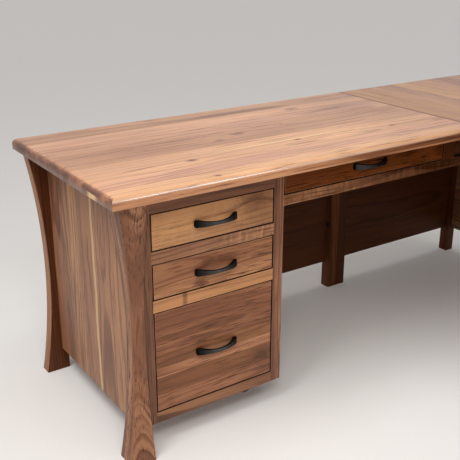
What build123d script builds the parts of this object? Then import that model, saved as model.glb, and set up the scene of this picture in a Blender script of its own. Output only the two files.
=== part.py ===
from build123d import *
import os

# Corner desk in solid walnut, in millimetres.
# X runs along the main desk, Y from the sitter to the wall, Z up from the floor.
# The origin is the middle of the footprint, at floor level.

# Tops
desk_height = 762
top_thickness = 32
main_length = 1224
main_depth = 650
return_width = 686
return_length = 1524
seam_gap = 0.2
top_round = 16
top_ease = 2.5
seam_ease = 1.2

# Flared legs, with setbacks measured inward from the edge of the top
leg_top_setback = 27
leg_waist_setback = 66
leg_foot_setback = 31
leg_waist_height = 355
leg_waist_size = 36
flat_leg_thickness = 26
leg_ease = 1.5
wall_setback = 9

# Panels and posts
end_panel_thickness = 21
back_panel_thickness = 19
back_panel_inset = 2
back_panel_floor_gap = 105
post_size = 41
post_ease = 2
tongue_thickness = 8
tongue_depth = 8
glue_gap = 0.1
cut_over = 1

# Pedestal and its face frame
case_floor_gap = 74
frame_thickness = 22
stile_width = 33
opening_width = 379
top_rail_height = 56
bottom_rail_height = 32
drawer_rail_height = 34
drawer_opening_height = 101
side_thickness = 19
floor_thickness = 19
tenon_length = 12
tenon_thickness = 9
tenon_shoulder = 4
foot_top_radius = 26
foot_bottom_radius = 20
foot_side_setback = 60
foot_front_setback = 85

# Kneehole
knee_opening_height = 70
knee_rail_height = 30
knee_top_rail_height = 14
knee_stile_width = 52
hanger_thickness = 19

# Drawers
reveal = 3
front_thickness = 20
front_ease = 2
box_thickness = 12
box_below = 12
box_above = 13
file_box_above = 46
box_overrun = 10
panel_thickness = 6
panel_housing = 5
panel_height = 8
tail_width = 16
tail_pitch = 27
tail_splay = 2

# Telescopic slides
slide_width = 13
slide_height = 44
slide_sheet = 1.2
slide_back_clearance = 67
slide_front_gap = 1
file_slide_height = 90
race = 4
race_clearance = 0.3
cabinet_flange = 9
middle_offset = 4
middle_flange = 7
runner_flange = 6.8
cage_width = 3.6
cage_length = 180
cage_margin = 10
cage_setback = 1.5
block_height = 60

# Bow pulls
pull_length = 130
pull_projection = 30.5
pull_foot_length = 12
pull_foot_height = 21.5
pull_foot_rise = 8
pull_foot_round = 5
pull_waist_height = 10.5
pull_thickness = 7
pull_ease = 1.6
knee_pull_rise = 5

# Bolts that join the two posts under the seam
bolt_radius = 4
bolt_hole_clearance = 0.3
bolt_head_radius = 8
bolt_head_height = 4
bolt_nut_height = 6
bolt_front_setback = 11
bolt_heights = (260, 600)

# Planes that the pieces share
top_under = desk_height - top_thickness
total_width = main_length + seam_gap + return_width
x_left = -total_width / 2
x_seam = x_left + main_length
x_return = x_seam + seam_gap
x_right = total_width / 2
y_wall = return_length / 2
y_front = y_wall - main_depth
y_near = -return_length / 2
leg_reach = leg_waist_setback + leg_waist_size
x_leg = x_left + leg_reach
y_leg = y_front + leg_reach
x_return_leg = x_return + leg_reach
y_return_leg = y_near + leg_reach
y_rear = y_wall - wall_setback
x_rear = x_right - wall_setback
y_frame = y_leg - frame_thickness
y_panel = y_rear - back_panel_inset - back_panel_thickness
y_post = y_rear - post_size
x_apron = x_return_leg - frame_thickness
x_open = x_leg + stile_width
x_shut = x_open + opening_width
x_case = x_shut + stile_width
x_knee_stile = x_seam - knee_stile_width

# heights hang from the top, and the file drawer takes what is left
z_rail_top = top_under - top_rail_height
z_drawer_upper = z_rail_top - drawer_opening_height
z_rail_upper = z_drawer_upper - drawer_rail_height
z_drawer_lower = z_rail_upper - drawer_opening_height
z_rail_lower = z_drawer_lower - drawer_rail_height
z_file = case_floor_gap + bottom_rail_height
z_knee_top_rail = top_under - knee_top_rail_height
z_knee_drawer = z_knee_top_rail - knee_opening_height
z_knee_rail = z_knee_drawer - knee_rail_height

y_slide = y_leg + slide_front_gap
slide_length = y_panel - slide_back_clearance - y_slide

frame_y = (y_frame, y_leg)
case_z = (case_floor_gap, top_under)
rail_spans = {
    "rail_bottom": (case_floor_gap, z_file),
    "rail_lower": (z_rail_lower, z_drawer_lower),
    "rail_upper": (z_rail_upper, z_drawer_upper),
    "rail_top": (z_rail_top, top_under),
}
knee_rail_spans = {
    "kneehole_rail": (z_knee_rail, z_knee_drawer),
    "kneehole_top_rail": (z_knee_top_rail, top_under),
}

os.makedirs("parts", exist_ok=True)


def keep(builder, name):
    builder.part.label = name
    export_step(builder.part, f"parts/{name}.step")


def block(x, y, z, mode=Mode.ADD):
    # a box between two planes on each axis
    with Locations((sum(x) / 2, sum(y) / 2, sum(z) / 2)):
        Box(x[1] - x[0], y[1] - y[0], z[1] - z[0], mode=mode)


def grown(span, gap):
    return (span[0] - gap, span[1] + gap)


def long_edges(builder, axis):
    # the edges that run along one axis, end to end
    return builder.edges().filter_by(axis).group_by(SortBy.LENGTH)[-1]


# Main top: round on its three free edges, eased at the seam
with BuildPart() as main_top:
    block((x_left, x_seam), (y_front, y_wall), (top_under, desk_height))
    upper = main_top.faces().sort_by(Axis.Z)[-1].edges()
    fillet([upper.sort_by(Axis.X)[0], upper.sort_by(Axis.Y)[0], upper.sort_by(Axis.Y)[-1]], top_round)
    lower = main_top.faces().sort_by(Axis.Z)[0].edges()
    fillet([lower.sort_by(Axis.X)[0], lower.sort_by(Axis.Y)[0]], top_ease)
    chamfer(main_top.faces().sort_by(Axis.Z)[-1].edges().sort_by(Axis.X)[-1], seam_ease)
keep(main_top, "main_top")

# Return top: its sitter's edge is round only forward of the main top
with BuildPart() as return_top:
    block((x_return, x_right), (y_near, y_wall), (top_under, desk_height))
    upper = return_top.faces().sort_by(Axis.Z)[-1].edges()
    fillet([upper.sort_by(Axis.Y)[0], upper.sort_by(Axis.X)[-1], upper.sort_by(Axis.Y)[-1]], top_round)
    with BuildSketch(Plane.XZ.offset(-y_near)):
        with Locations((x_return, desk_height)):
            Rectangle(top_round, top_round, align=(Align.MIN, Align.MAX))
        with Locations((x_return + top_round, desk_height - top_round)):
            Circle(top_round, mode=Mode.SUBTRACT)
    extrude(amount=y_near - y_front, mode=Mode.SUBTRACT)
    chamfer(return_top.faces().sort_by(Axis.Z)[-1].edges().sort_by(Axis.X)[0], seam_ease)
keep(return_top, "return_top")


def flare_face(edge):
    # a leg seen square on: hollow arc outside, straight inside
    with BuildSketch() as face:
        with BuildLine():
            hollow = ThreePointArc(
                (edge + leg_top_setback, top_under),
                (edge + leg_waist_setback, leg_waist_height),
                (edge + leg_foot_setback, 0),
            )
            Polyline(hollow @ 1, (edge + leg_reach, 0), (edge + leg_reach, top_under), hollow @ 0)
        make_face()
    return face.sketch


def ease_leg(leg):
    upright = leg.edges().filter_by(lambda e: e.bounding_box().size.Z > top_under / 2)
    chamfer(upright, leg_ease)


def corner_leg(x_edge, y_edge, groove_x, groove_y):
    # both outer faces are hollowed, so the leg flares towards its corner
    with BuildPart() as leg:
        with BuildSketch(Plane.XZ.offset(-y_edge - leg_reach)):
            add(flare_face(x_edge))
        extrude(amount=leg_reach)
        with BuildSketch(Plane.YZ.offset(x_edge)):
            add(flare_face(y_edge))
        extrude(amount=leg_reach, mode=Mode.INTERSECT)
        ease_leg(leg)
        block(groove_x, groove_y, grown(case_z, glue_gap), mode=Mode.SUBTRACT)
    return leg


# Left end: two legs with an upright panel tongued between them
y_flat_leg = y_rear - flat_leg_thickness
tongue_x = (
    x_leg - (end_panel_thickness + tongue_thickness) / 2,
    x_leg - (end_panel_thickness - tongue_thickness) / 2,
)
groove_x = grown(tongue_x, glue_gap)

leg_front_left = corner_leg(x_left, y_front, groove_x, (y_leg - tongue_depth - glue_gap, y_leg + cut_over))
keep(leg_front_left, "leg_front_left")

with BuildPart() as leg_back_left:
    with BuildSketch(Plane.XZ.offset(-y_rear)):
        add(flare_face(x_left))
    extrude(amount=flat_leg_thickness)
    ease_leg(leg_back_left)
    groove_y = (y_flat_leg - cut_over, y_flat_leg + tongue_depth + glue_gap)
    block(groove_x, groove_y, grown(case_z, glue_gap), mode=Mode.SUBTRACT)
keep(leg_back_left, "leg_back_left")

with BuildPart() as end_panel_left:
    block((x_leg - end_panel_thickness, x_leg), (y_leg, y_flat_leg), case_z)
    block(tongue_x, (y_leg - tongue_depth, y_flat_leg + tongue_depth), case_z)
keep(end_panel_left, "end_panel_left")

# Near end of the return: the same two legs and panel, turned to face the sitter
x_flat_leg = x_rear - flat_leg_thickness
tongue_y = (
    y_return_leg - (end_panel_thickness + tongue_thickness) / 2,
    y_return_leg - (end_panel_thickness - tongue_thickness) / 2,
)
groove_y = grown(tongue_y, glue_gap)

return_leg_inner = corner_leg(
    x_return, y_near, (x_return_leg - tongue_depth - glue_gap, x_return_leg + cut_over), groove_y
)
keep(return_leg_inner, "return_leg_inner")

with BuildPart() as return_leg_outer:
    with BuildSketch(Plane.YZ.offset(x_flat_leg)):
        add(flare_face(y_near))
    extrude(amount=flat_leg_thickness)
    ease_leg(return_leg_outer)
    groove_x = (x_flat_leg - cut_over, x_flat_leg + tongue_depth + glue_gap)
    block(groove_x, groove_y, grown(case_z, glue_gap), mode=Mode.SUBTRACT)
keep(return_leg_outer, "return_leg_outer")

with BuildPart() as return_end_panel:
    block((x_return_leg, x_flat_leg), (y_return_leg - end_panel_thickness, y_return_leg), case_z)
    block((x_return_leg - tongue_depth, x_flat_leg + tongue_depth), tongue_y, case_z)
keep(return_end_panel, "return_end_panel")

# Straight posts, housed for the back panels; two of them are bolted together
panel_y = (y_panel, y_panel + back_panel_thickness)
panel_z = (back_panel_floor_gap, top_under)
side_panel_x = (x_rear - back_panel_inset - back_panel_thickness, x_rear - back_panel_inset)
y_bolt = y_post + bolt_front_setback


def post(x, housings, bolted=False):
    with BuildPart() as upright:
        block((x, x + post_size), (y_post, y_rear), (0, top_under))
        fillet(long_edges(upright, Axis.Z), post_ease)
        for housing_x, housing_y in housings:
            block(housing_x, housing_y, grown(panel_z, glue_gap), mode=Mode.SUBTRACT)
        if bolted:
            for z in bolt_heights:
                with Locations(Plane.YZ.offset(x + post_size / 2)):
                    with Locations((y_bolt, z)):
                        Cylinder(bolt_radius + bolt_hole_clearance, post_size, mode=Mode.SUBTRACT)
    return upright


housing_y = grown(panel_y, glue_gap)
x_main_post = x_seam - post_size
x_corner_post = x_rear - post_size
housing_depth = tongue_depth + glue_gap

post_main = post(x_main_post, [((x_main_post - cut_over, x_main_post + housing_depth), housing_y)], True)
keep(post_main, "post_main")

x_return_post = x_return + post_size
post_return = post(x_return, [((x_return_post - housing_depth, x_return_post + cut_over), housing_y)], True)
keep(post_return, "post_return")

post_corner = post(
    x_corner_post,
    [
        ((x_corner_post - cut_over, x_corner_post + housing_depth), housing_y),
        (grown(side_panel_x, glue_gap), (y_post - cut_over, y_post + housing_depth)),
    ],
)
keep(post_corner, "post_corner")

with BuildPart() as post_bolts:
    for z in bolt_heights:
        with Locations(Plane((x_main_post, y_bolt, z), x_dir=(0, 1, 0), z_dir=(1, 0, 0))):
            start = (Align.CENTER, Align.CENTER, Align.MIN)
            reach = 2 * post_size + seam_gap + bolt_nut_height
            Cylinder(bolt_radius, reach, align=start)
            with Locations((0, 0, -bolt_head_height)):
                Cylinder(bolt_head_radius, bolt_head_height, align=start)
            with Locations((0, 0, reach - bolt_nut_height)):
                Cylinder(bolt_head_radius, bolt_nut_height, align=start)
keep(post_bolts, "post_bolts")

# Back and side panels
with BuildPart() as modesty_panel:
    block((x_case, x_main_post + tongue_depth), panel_y, panel_z)
keep(modesty_panel, "modesty_panel")

with BuildPart() as return_back_panel:
    block((x_return_post - tongue_depth, x_corner_post + tongue_depth), panel_y, panel_z)
keep(return_back_panel, "return_back_panel")

with BuildPart() as return_side_panel:
    block(side_panel_x, (y_return_leg, y_post + tongue_depth), panel_z)
keep(return_side_panel, "return_side_panel")

with BuildPart() as return_apron:
    block((x_apron, x_return_leg), (y_return_leg, y_panel), (z_knee_rail, top_under))
keep(return_apron, "return_apron")

# Face frame: rails tenoned into the two stiles
tenon_y = (
    (y_frame + y_leg - tenon_thickness) / 2,
    (y_frame + y_leg + tenon_thickness) / 2,
)


def tenon_z(span):
    return grown(span, -tenon_shoulder)


def mortise(x, span):
    block(x, grown(tenon_y, glue_gap), grown(tenon_z(span), glue_gap), mode=Mode.SUBTRACT)


with BuildPart() as stile_left:
    block((x_leg, x_open), frame_y, case_z)
    for span in rail_spans.values():
        mortise((x_open - tenon_length - glue_gap, x_open + cut_over), span)
keep(stile_left, "stile_left")

with BuildPart() as stile_right:
    block((x_shut, x_case), frame_y, case_z)
    for span in rail_spans.values():
        mortise((x_shut - cut_over, x_shut + tenon_length + glue_gap), span)
    for span in knee_rail_spans.values():
        mortise((x_case - tenon_length - glue_gap, x_case + cut_over), span)
keep(stile_right, "stile_right")

for name, span in rail_spans.items():
    with BuildPart() as rail:
        block((x_open, x_shut), frame_y, span)
        block((x_open - tenon_length, x_shut + tenon_length), tenon_y, tenon_z(span))
    keep(rail, name)

# Kneehole rails run past the seam to the return's apron
for name, span in knee_rail_spans.items():
    with BuildPart() as rail:
        block((x_case, x_apron), frame_y, span)
        block((x_case - tenon_length, x_case), tenon_y, tenon_z(span))
    keep(rail, name)

with BuildPart() as kneehole_stile:
    block((x_knee_stile, x_seam), frame_y, (z_knee_drawer, z_knee_top_rail))
keep(kneehole_stile, "kneehole_stile")

with BuildPart() as drawer_hanger:
    hanger_y = (y_leg, y_slide + slide_length)
    block((x_knee_stile, x_knee_stile + hanger_thickness), hanger_y, (z_knee_drawer, top_under))
keep(drawer_hanger, "drawer_hanger")

# Pedestal case
case_y = (y_leg, y_panel)
x_inner_side = x_case - side_thickness

with BuildPart() as pedestal_inner_side:
    block((x_inner_side, x_case), case_y, case_z)
keep(pedestal_inner_side, "pedestal_inner_side")

with BuildPart() as pedestal_back:
    block((x_leg, x_case), panel_y, case_z)
keep(pedestal_back, "pedestal_back")

with BuildPart() as pedestal_bottom:
    block((x_leg, x_inner_side), case_y, (case_floor_gap, case_floor_gap + floor_thickness))
keep(pedestal_bottom, "pedestal_bottom")

with BuildPart() as pedestal_feet:
    x_foot = x_case - foot_side_setback
    with Locations((x_foot, y_leg + foot_front_setback), (x_foot, y_panel - foot_front_setback)):
        start = (Align.CENTER, Align.CENTER, Align.MIN)
        Cone(foot_bottom_radius, foot_top_radius, case_floor_gap, align=start)
keep(pedestal_feet, "pedestal_feet")

# Drawers: the opening each one fills, the air over its box, and the height of its slides
pedestal_x = (x_open, x_shut)
drawers = {
    "drawer_top": (pedestal_x, (z_drawer_upper, z_rail_top), box_above, None),
    "drawer_middle": (pedestal_x, (z_drawer_lower, z_rail_upper), box_above, None),
    "drawer_file": (pedestal_x, (z_file, z_rail_lower), file_box_above, file_slide_height),
    "drawer_kneehole": ((x_case, x_knee_stile), (z_knee_drawer, z_knee_top_rail), box_above, None),
}
y_box = y_frame + front_thickness
y_box_end = y_slide + slide_length + box_overrun
slide_y = (y_slide, y_slide + slide_length)


def box_span(opening_z, above):
    return (opening_z[0] + box_below, opening_z[1] - above)


def slide_axis(box_z, height):
    # slides sit at mid height of the box unless a height is given
    return sum(box_z) / 2 if height is None else box_z[0] + height


def tail_centres(box_z):
    # evenly spaced dovetails, at least two
    count = max(2, round((box_z[1] - box_z[0]) / tail_pitch))
    step = (box_z[1] - box_z[0]) / count
    return [box_z[0] + step * (i + 0.5) for i in range(count)]


def tail(y_shoulder, y_end, z, slack=0):
    # one dovetail seen from the side, wide at its end
    wide = tail_width / 2 + slack
    narrow = wide - tail_splay
    with BuildSketch() as outline:
        with BuildLine():
            Polyline(
                (y_shoulder, z - narrow),
                (y_end, z - wide),
                (y_end, z + wide),
                (y_shoulder, z + narrow),
                close=True,
            )
        make_face()
    return outline.sketch


def joint_faces(box_z, slack=0):
    # the dovetails of a box's front and back corners
    faces = []
    for z in tail_centres(box_z):
        faces.append(tail(y_box + box_thickness, y_box, z, slack))
        faces.append(tail(y_box_end - box_thickness, y_box_end, z, slack))
    return faces


def pull(x, z):
    # a bowed strap: its plan is a band between two arcs, and its front view, slim at the waist, trims it
    half = pull_length / 2
    foot = pull_foot_height / 2
    waist = pull_waist_height / 2
    with BuildPart() as strap:
        with BuildSketch(Plane((x, y_frame, z - foot))):
            with BuildLine():
                end, shoulder = half + cut_over, -pull_foot_rise
                outer = ThreePointArc((-end, shoulder), (0, -pull_projection), (end, shoulder))
                seat = half - pull_foot_length
                inner = ThreePointArc((seat, 0), (0, pull_thickness - pull_projection), (-seat, 0))
                Polyline(outer @ 1, (end, 0), inner @ 0)
                Polyline(inner @ 1, (-end, 0), outer @ 0)
            make_face()
            fillet(vertices().group_by(Axis.Y)[0], pull_foot_round)
        extrude(amount=pull_foot_height)
        with BuildSketch(Plane((x, y_frame, z), x_dir=(1, 0, 0), z_dir=(0, -1, 0))):
            with BuildLine():
                upper = ThreePointArc((-half, foot), (0, waist), (half, foot))
                lower = ThreePointArc((half, -foot), (0, -waist), (-half, -foot))
                Line(upper @ 1, lower @ 0)
                Line(lower @ 1, upper @ 0)
            make_face()
            fillet(vertices(), pull_foot_round)
        extrude(amount=pull_projection + cut_over, mode=Mode.INTERSECT)
        chamfer(strap.edges().filter_by(lambda e: e.bounding_box().size.X > half), pull_ease)
    return strap


for name, (x, z, above, slide_at) in drawers.items():
    box_x = (x[0] + slide_width, x[1] - slide_width)
    box_z = box_span(z, above)
    panel_x = grown(box_x, panel_housing - box_thickness)
    box_panel_y = (y_box + box_thickness - panel_housing, y_box_end - box_thickness + panel_housing)
    box_panel_z = (box_z[0] + panel_height, box_z[0] + panel_height + panel_thickness)
    housing = [grown(span, glue_gap) for span in (panel_x, box_panel_y, box_panel_z)]

    with BuildPart() as front:
        block(grown(x, -reveal), (y_frame, y_box), grown(z, -reveal))
        fillet(front.faces().sort_by(Axis.Y)[0].edges(), front_ease)
    keep(front, f"{name}_front")

    with BuildPart() as sides:
        for x_side in (box_x[0], box_x[1] - box_thickness):
            side_y = (y_box + box_thickness, y_box_end - box_thickness)
            block((x_side, x_side + box_thickness), side_y, box_z)
            with BuildSketch(Plane.YZ.offset(x_side)):
                add(joint_faces(box_z))
            extrude(amount=box_thickness)
        block(*housing, mode=Mode.SUBTRACT)
    keep(sides, f"{name}_box_sides")

    with BuildPart() as ends:
        for y_end in (y_box, y_box_end - box_thickness):
            block(box_x, (y_end, y_end + box_thickness), box_z)
        for x_side in (box_x[0], box_x[1] - box_thickness):
            with BuildSketch(Plane.YZ.offset(x_side - glue_gap)):
                add(joint_faces(box_z, glue_gap))
            extrude(amount=box_thickness + 2 * glue_gap, mode=Mode.SUBTRACT)
        block(*housing, mode=Mode.SUBTRACT)
    keep(ends, f"{name}_box_ends")

    with BuildPart() as bottom:
        block(panel_x, box_panel_y, box_panel_z)
    keep(bottom, f"{name}_box_bottom")

    pull_lift = 0 if x == pedestal_x else knee_pull_rise
    keep(pull(sum(x) / 2, sum(z) / 2 + pull_lift), f"{name}_pull")


# Slides: three nested channels a side, seen end on.
# Distances run from the fixed side towards the drawer box, heights from the middle.
def channel(x_wall, inward, z, depth, flange, half_height, opens_inward, y=slide_y):
    web = (x_wall + inward * depth, x_wall + inward * (depth + slide_sheet))
    if opens_inward:
        lip = (x_wall + inward * depth, x_wall + inward * (depth + flange))
    else:
        lip = (x_wall + inward * (depth + slide_sheet - flange), x_wall + inward * (depth + slide_sheet))
    block(sorted(web), y, (z - half_height, z + half_height))
    for sign in (-1, 1):
        edge = (z + sign * half_height, z + sign * (half_height - slide_sheet))
        block(sorted(lip), y, sorted(edge))


def cage(x_wall, inward, z, depth, low, high, y):
    # a strip of ball bearings above and below
    for sign in (-1, 1):
        span = (x_wall + inward * depth, x_wall + inward * (depth + cage_width))
        block(sorted(span), y, sorted((z + sign * low, z + sign * high)))


cabinet_half = slide_height / 2
middle_half = cabinet_half - slide_sheet - race
runner_half = middle_half - slide_sheet - race
outer_cage_y = (slide_y[1] - cage_margin - cage_length, slide_y[1] - cage_margin)
inner_cage_y = (slide_y[0] + cage_margin, slide_y[0] + cage_margin + cage_length)
cage_depth = middle_offset + slide_sheet + cage_setback

with BuildPart() as slide_cabinet_members:
    for x, z, above, slide_at in drawers.values():
        z_slide = slide_axis(box_span(z, above), slide_at)
        for x_wall, inward in ((x[0], 1), (x[1], -1)):
            channel(x_wall, inward, z_slide, 0, cabinet_flange, cabinet_half, True)
keep(slide_cabinet_members, "slide_cabinet_members")

for name, (x, z, above, slide_at) in drawers.items():
    z_slide = slide_axis(box_span(z, above), slide_at)

    with BuildPart() as middle:
        for x_wall, inward in ((x[0], 1), (x[1], -1)):
            channel(x_wall, inward, z_slide, middle_offset, middle_flange, middle_half, True)
            outer_race = (middle_half, middle_half + race - race_clearance)
            cage(x_wall, inward, z_slide, middle_offset, *outer_race, outer_cage_y)
            inner_race = (runner_half + race_clearance, runner_half + race)
            cage(x_wall, inward, z_slide, cage_depth, *inner_race, inner_cage_y)
    keep(middle, f"{name}_slide_middle")

    with BuildPart() as runner:
        for x_wall, inward in ((x[0], 1), (x[1], -1)):
            depth = slide_width - slide_sheet
            channel(x_wall, inward, z_slide, depth, runner_flange, runner_half, False)
    keep(runner, f"{name}_slide_runner")

# Packing blocks carry the pedestal's slides level with the stiles' edges
with BuildPart() as slide_blocks:
    for x, z, above, slide_at in drawers.values():
        if x == pedestal_x:
            z_slide = slide_axis(box_span(z, above), slide_at)
            block_z = (z_slide - block_height / 2, z_slide + block_height / 2)
            block((x_leg, x_open), (y_leg, slide_y[1]), block_z)
            block((x_shut, x_inner_side), (y_leg, slide_y[1]), block_z)
keep(slide_blocks, "slide_blocks")
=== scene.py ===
from math import radians

import bmesh
import bpy
import numpy as np
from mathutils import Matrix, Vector


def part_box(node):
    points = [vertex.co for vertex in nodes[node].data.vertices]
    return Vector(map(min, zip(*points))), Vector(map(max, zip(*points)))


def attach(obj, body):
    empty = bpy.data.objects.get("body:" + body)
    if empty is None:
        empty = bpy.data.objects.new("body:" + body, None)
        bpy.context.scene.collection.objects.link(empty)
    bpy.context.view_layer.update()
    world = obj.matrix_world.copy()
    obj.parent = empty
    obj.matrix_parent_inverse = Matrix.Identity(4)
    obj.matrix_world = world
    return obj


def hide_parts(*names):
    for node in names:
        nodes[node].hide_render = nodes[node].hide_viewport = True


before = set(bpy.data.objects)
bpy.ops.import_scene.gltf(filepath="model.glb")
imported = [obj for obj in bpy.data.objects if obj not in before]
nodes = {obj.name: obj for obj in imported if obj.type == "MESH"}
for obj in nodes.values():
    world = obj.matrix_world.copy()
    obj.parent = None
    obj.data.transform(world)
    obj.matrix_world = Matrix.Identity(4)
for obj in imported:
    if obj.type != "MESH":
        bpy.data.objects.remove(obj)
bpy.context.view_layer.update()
print("frame loaded:", len(nodes), "nodes")


def feed(tree, socket, value):
    if isinstance(value, bpy.types.NodeSocket):
        tree.links.new(value, socket)
    else:
        socket.default_value = value


def put(tree, kind, feeds=None, **settings):
    node = tree.nodes.new("ShaderNode" + kind)
    for key, value in settings.items():
        setattr(node, key, value)
    for key, value in (feeds or {}).items():
        feed(tree, node.inputs[key], value)
    return node


def calc(tree, operation, *values):
    return put(tree, "Math", dict(enumerate(values)), operation=operation).outputs[0]


def times(tree, first, *more):
    for value in more:
        first = calc(tree, "MULTIPLY", first, value)
    return first


def timesAdd(tree, value, factor, base):
    return calc(tree, "MULTIPLY_ADD", value, factor, base)


def calcVector(tree, operation, *values):
    node = put(tree, "VectorMath", dict(enumerate(values)), operation=operation)
    return node.outputs["Value" if operation == "LENGTH" else "Vector"]


def stretch(tree, vector, factors):
    return calcVector(tree, "MULTIPLY", vector, factors)


def split(tree, vector):
    return put(tree, "SeparateXYZ", {0: vector}).outputs


def join(tree, x=0.0, y=0.0, z=0.0):
    return put(tree, "CombineXYZ", {0: x, 1: y, 2: z}).outputs[0]


def fade(tree, value, start, end, low=0.0, high=1.0):
    feeds = {0: value, 1: start, 2: end, 3: low, 4: high}
    return put(tree, "MapRange", feeds, interpolation_type="SMOOTHSTEP").outputs[0]


def noise(tree, vector, scale=1.0, detail=2.0, roughness=0.5):
    feeds = {"Vector": vector, "Scale": scale, "Detail": detail, "Roughness": roughness}
    return put(tree, "TexNoise", feeds).outputs[0]


def wobble(tree, vector, reach):  # noise about zero
    return timesAdd(tree, noise(tree, vector), reach, -reach / 2)


def chance(tree, value):
    return put(tree, "TexWhiteNoise", {"W": value}, noise_dimensions="1D").outputs[0]


def clamp(tree, value):
    return put(tree, "Clamp", {0: value}).outputs[0]


def mixColor(tree, factor, first, second, blend="MIX"):
    feeds = {0: factor, 6: first, 7: second}
    return put(tree, "Mix", feeds, data_type="RGBA", blend_type=blend).outputs[2]


def newGroup(name, inputs, outputs):
    group = bpy.data.node_groups.new(name, "ShaderNodeTree")
    kinds = {"f": "NodeSocketFloat", "v": "NodeSocketVector", "c": "NodeSocketColor"}
    for label, kind, value in inputs:
        socket = group.interface.new_socket(name=label, in_out="INPUT", socket_type=kinds[kind])
        socket.default_value = value
    for label, kind in outputs:
        group.interface.new_socket(name=label, in_out="OUTPUT", socket_type=kinds[kind])
    return group, group.nodes.new("NodeGroupInput").outputs, group.nodes.new("NodeGroupOutput").inputs


def useGroup(tree, group, feeds):
    node = tree.nodes.new("ShaderNodeGroup")
    node.node_tree = group
    for key, value in feeds.items():
        feed(tree, node.inputs[key], value)
    return node.outputs


# sockets that most groups have
vectorIn = ("Vector", "v", (0, 0, 0))
facingIn = ("Facing", "v", (0, 0, 1))
colorIn = ("Color", "c", (1, 1, 1, 1))
surfaceOut = [("Color", "c"), ("Roughness", "f"), ("Height", "f")]

# Board figure: growth rings about a heart line beside the board, bent by slow noise along the grain.
# The board lies with X along the grain, Y across the face and Z through its thickness, in metres.
figureLook = {
    "seedStep": (3.7, 1.9, 2.6), "yearStep": 57.0,
    # stretch of each noise along, across and through, and how far it bends the rings
    "slow": (1.0, 3.0, 3.0), "slowTwin": (7.3, 1.1, 4.2), "bendAcross": 0.07, "bendThrough": 0.08,
    "ripple": (5.0, 22.0, 22.0), "rippleBend": 0.006, "knotBend": 0.012,
    "lively": (1.6, 11.0, 11.0), "pore": (55.0, 1300.0, 1300.0), "curl": (110.0, 28.0, 28.0),
    # stretch along the grain and across the rings
    "zone": (0.9, 38.0), "streak": (2.2, 105.0),
    # share of each in the tone
    "zoneTone": (0.66, -0.23), "ringTone": -0.26, "streakTone": -0.18, "poreTone": -0.07, "knotTone": -0.60,
    "lineTone": -0.3, "fibreMiddle": 0.59, "grainMost": 0.10,
    "coolTint": (1.02, 0.92, 1.02, 1), "warmTint": (1.03, 1.02, 0.72, 1), "hueDrift": 0.6,
    # a year's late wood, and where each noise starts and ends to show
    "lateFrom": 0.45, "latePeak": 0.90, "streakEdge": (0.56, 0.70), "lineEdge": (0.56, 0.70),
    "poreEdge": (0.60, 0.74), "livelyEdge": (0.36, 0.64, 0.35, 1.35),
    # detail and roughness of the noise
    "zoneDetail": (3.0, 0.55), "fibreDetail": (3.0, 0.6),
    "sapStreaks": -0.25, "sapPores": -0.15, "rough": 0.33, "zoneRough": 0.10, "poreRough": 0.16,
    "ringHeight": -0.25, "poreHeight": -1.0,
}


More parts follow.
